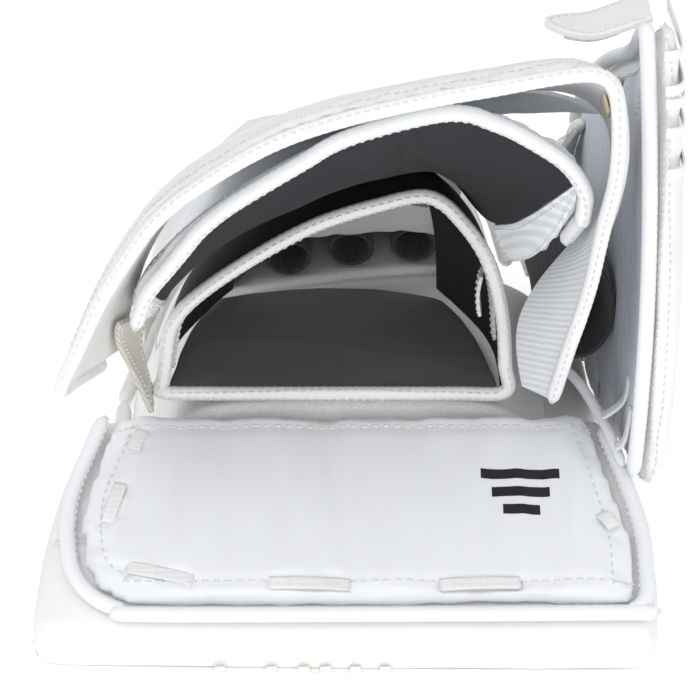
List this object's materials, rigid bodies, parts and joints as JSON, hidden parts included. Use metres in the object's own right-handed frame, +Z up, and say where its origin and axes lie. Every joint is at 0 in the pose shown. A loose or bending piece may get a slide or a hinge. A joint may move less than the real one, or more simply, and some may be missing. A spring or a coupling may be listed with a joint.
{
  "type": "goalie catch glove",
  "caption": "White catching glove with a wide padded wrist cuff, upright thumb board, flared backhand pad, wrist wrap and black and grey lining.",
  "frame": {"origin": "centre of the glove's footprint, on the surface it lies on", "axes": "+X to the thumb side, +Y from the wrist to the fingertips, +Z up, palm side down"},
  "size_m": [0.2392, 0.4044, 0.2332],
  "materials": {
    "vinyl": "smooth white synthetic leather",
    "liner_nylon": "pale padded nylon with soft wrinkles",
    "black_tricot": "black brushed knit",
    "grey_suede": "grey heathered suede cloth",
    "foam": "closed foam",
    "dark_mesh": "dark knit",
    "webbing": "white ribbed webbing",
    "lace": "white woven lace",
    "hook_strap": "cream strap cloth with a white selvedge",
    "tan_loop": "tan loop",
    "palm_leather": "grained white palm leather"
  },
  "bodies": {
    "hand": {"cuff_base": "vinyl", "cuff_core": "foam", "cuff_cover": "vinyl", "cuff_liner": "liner_nylon", "cuff_liner_roll": "liner_nylon", "cuff_lace": "lace", "cuff_ribs": "vinyl", "thumb_shell": "vinyl", "thumb_liner": "liner_nylon", "thumb_roll": "liner_nylon", "thumb_ribs": "vinyl", "thumb_lace": "lace", "thumb_stall": "dark_mesh", "valley_roll": "liner_nylon", "palm_leather": "palm_leather", "palm_foam": "foam", "palm_edge": "vinyl", "palm_suede": "grey_suede", "tunnel_lining": "black_tricot", "vent_mesh": "dark_mesh", "mouth_binding": "webbing", "left_facing": "webbing", "right_facing": "webbing", "facing_tab": "webbing", "hand_strap": "grey_suede", "hand_strap_tab": "grey_suede", "elastic_gusset": "black_tricot", "knuckle_panel": "vinyl"},
    "backhand": {"backhand_shell": "vinyl", "backhand_lining": "black_tricot", "backhand_binding": "vinyl", "right_flange": "webbing", "left_flange": "webbing", "hook_strap": "hook_strap"},
    "wrap": {"wrap_shell": "vinyl", "wrap_lining": "webbing", "wrap_binding": "vinyl", "wrap_end_pad": "vinyl", "wrap_tongue": "webbing", "wrap_keeper": "tan_loop"},
    "strap": {"thumb_strap": "vinyl", "thumb_strap_web": "webbing"},
    "fingers": {"finger_leather": "palm_leather", "finger_foam": "foam", "finger_stalls": "dark_mesh", "finger_back": "vinyl", "finger_edge": "vinyl"},
    "web": {"web_panel": "palm_leather", "web_binding": "vinyl", "web_lace": "lace"}
  },
  "joints": [
    {"name": "wrap_open", "type": "hinge", "parent": "hand", "child": "wrap", "pos_m": [-0.0015, -0.0099, 0.1499], "axis": [-1, 0, 0], "range_deg": [0, 28]},
    {"name": "backhand_open", "type": "hinge", "parent": "hand", "child": "backhand", "pos_m": [-0.0015, -0.0099, 0.1499], "axis": [-1, 0, 0], "range_deg": [0, 23.8]},
    {"name": "thumb_strap_peel", "type": "hinge", "parent": "hand", "child": "strap", "pos_m": [0.1085, -0.0979, 0.2239], "axis": [0, 1, 0], "range_deg": [0, 126]},
    {"name": "pocket_close", "type": "hinge", "parent": "hand", "child": "fingers", "pos_m": [-0.0925, 0.0021, -0.001], "axis": [-0.9744, -0.2249, 0], "range_deg": [0, 30]},
    {"name": "web_fold", "type": "hinge", "parent": "hand", "child": "web", "pos_m": [-0.0925, 0.0021, -0.001], "axis": [-0.9744, -0.2249, 0], "range_deg": [0, 15]}
  ],
  "couplings": [
    {"joint": "backhand_open", "follows": "wrap_open", "ratio": 0.85},
    {"joint": "thumb_strap_peel", "follows": "wrap_open", "ratio": 4.5},
    {"joint": "web_fold", "follows": "pocket_close", "ratio": 0.5}
  ]
}
